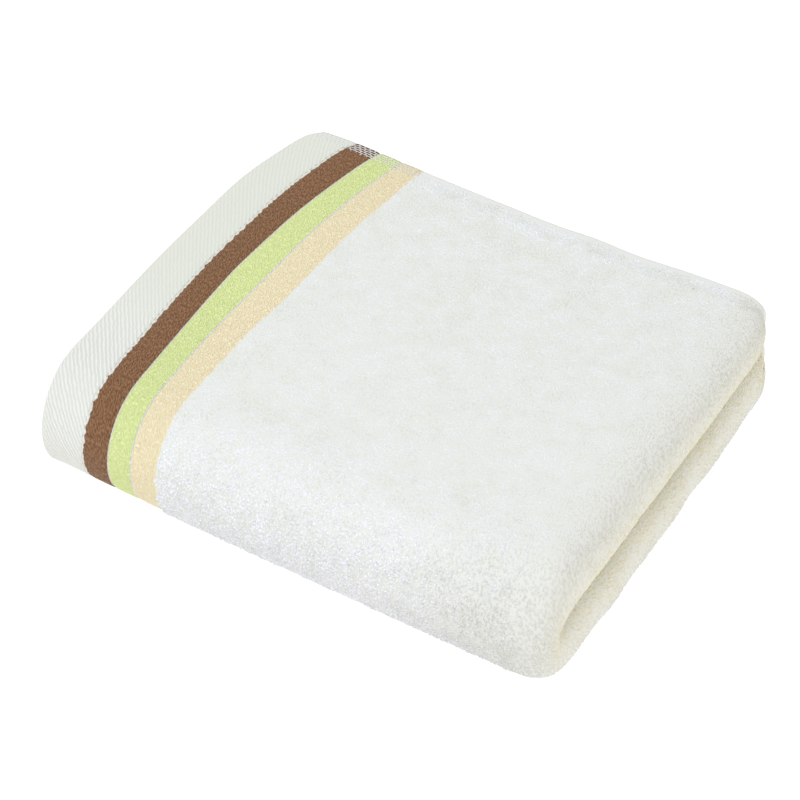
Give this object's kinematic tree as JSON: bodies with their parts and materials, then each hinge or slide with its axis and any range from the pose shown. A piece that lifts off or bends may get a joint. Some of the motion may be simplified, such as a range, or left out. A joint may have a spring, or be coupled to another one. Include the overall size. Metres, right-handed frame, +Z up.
{
  "type": "folded hand towel",
  "caption": "Terry cotton hand towel folded into a soft flat bundle, with a twill hem, woven border stripes and a rolled fold end.",
  "frame": {"origin": "middle of the folded towel's box, on the surface that it rests on", "axes": "+X from the hem end to the rolled fold end, +Y from the long fold to the side where the selvedges lie, +Z up"},
  "size_m": [0.1986, 0.1664, 0.0478],
  "materials": {
    "terry_cotton": "soft looped terry pile in natural white, with a flat twill hem band and satin-woven brown, green and peach border stripes"
  },
  "bodies": {
    "root": {"towel": "terry_cotton"}
  },
  "joints": []
}
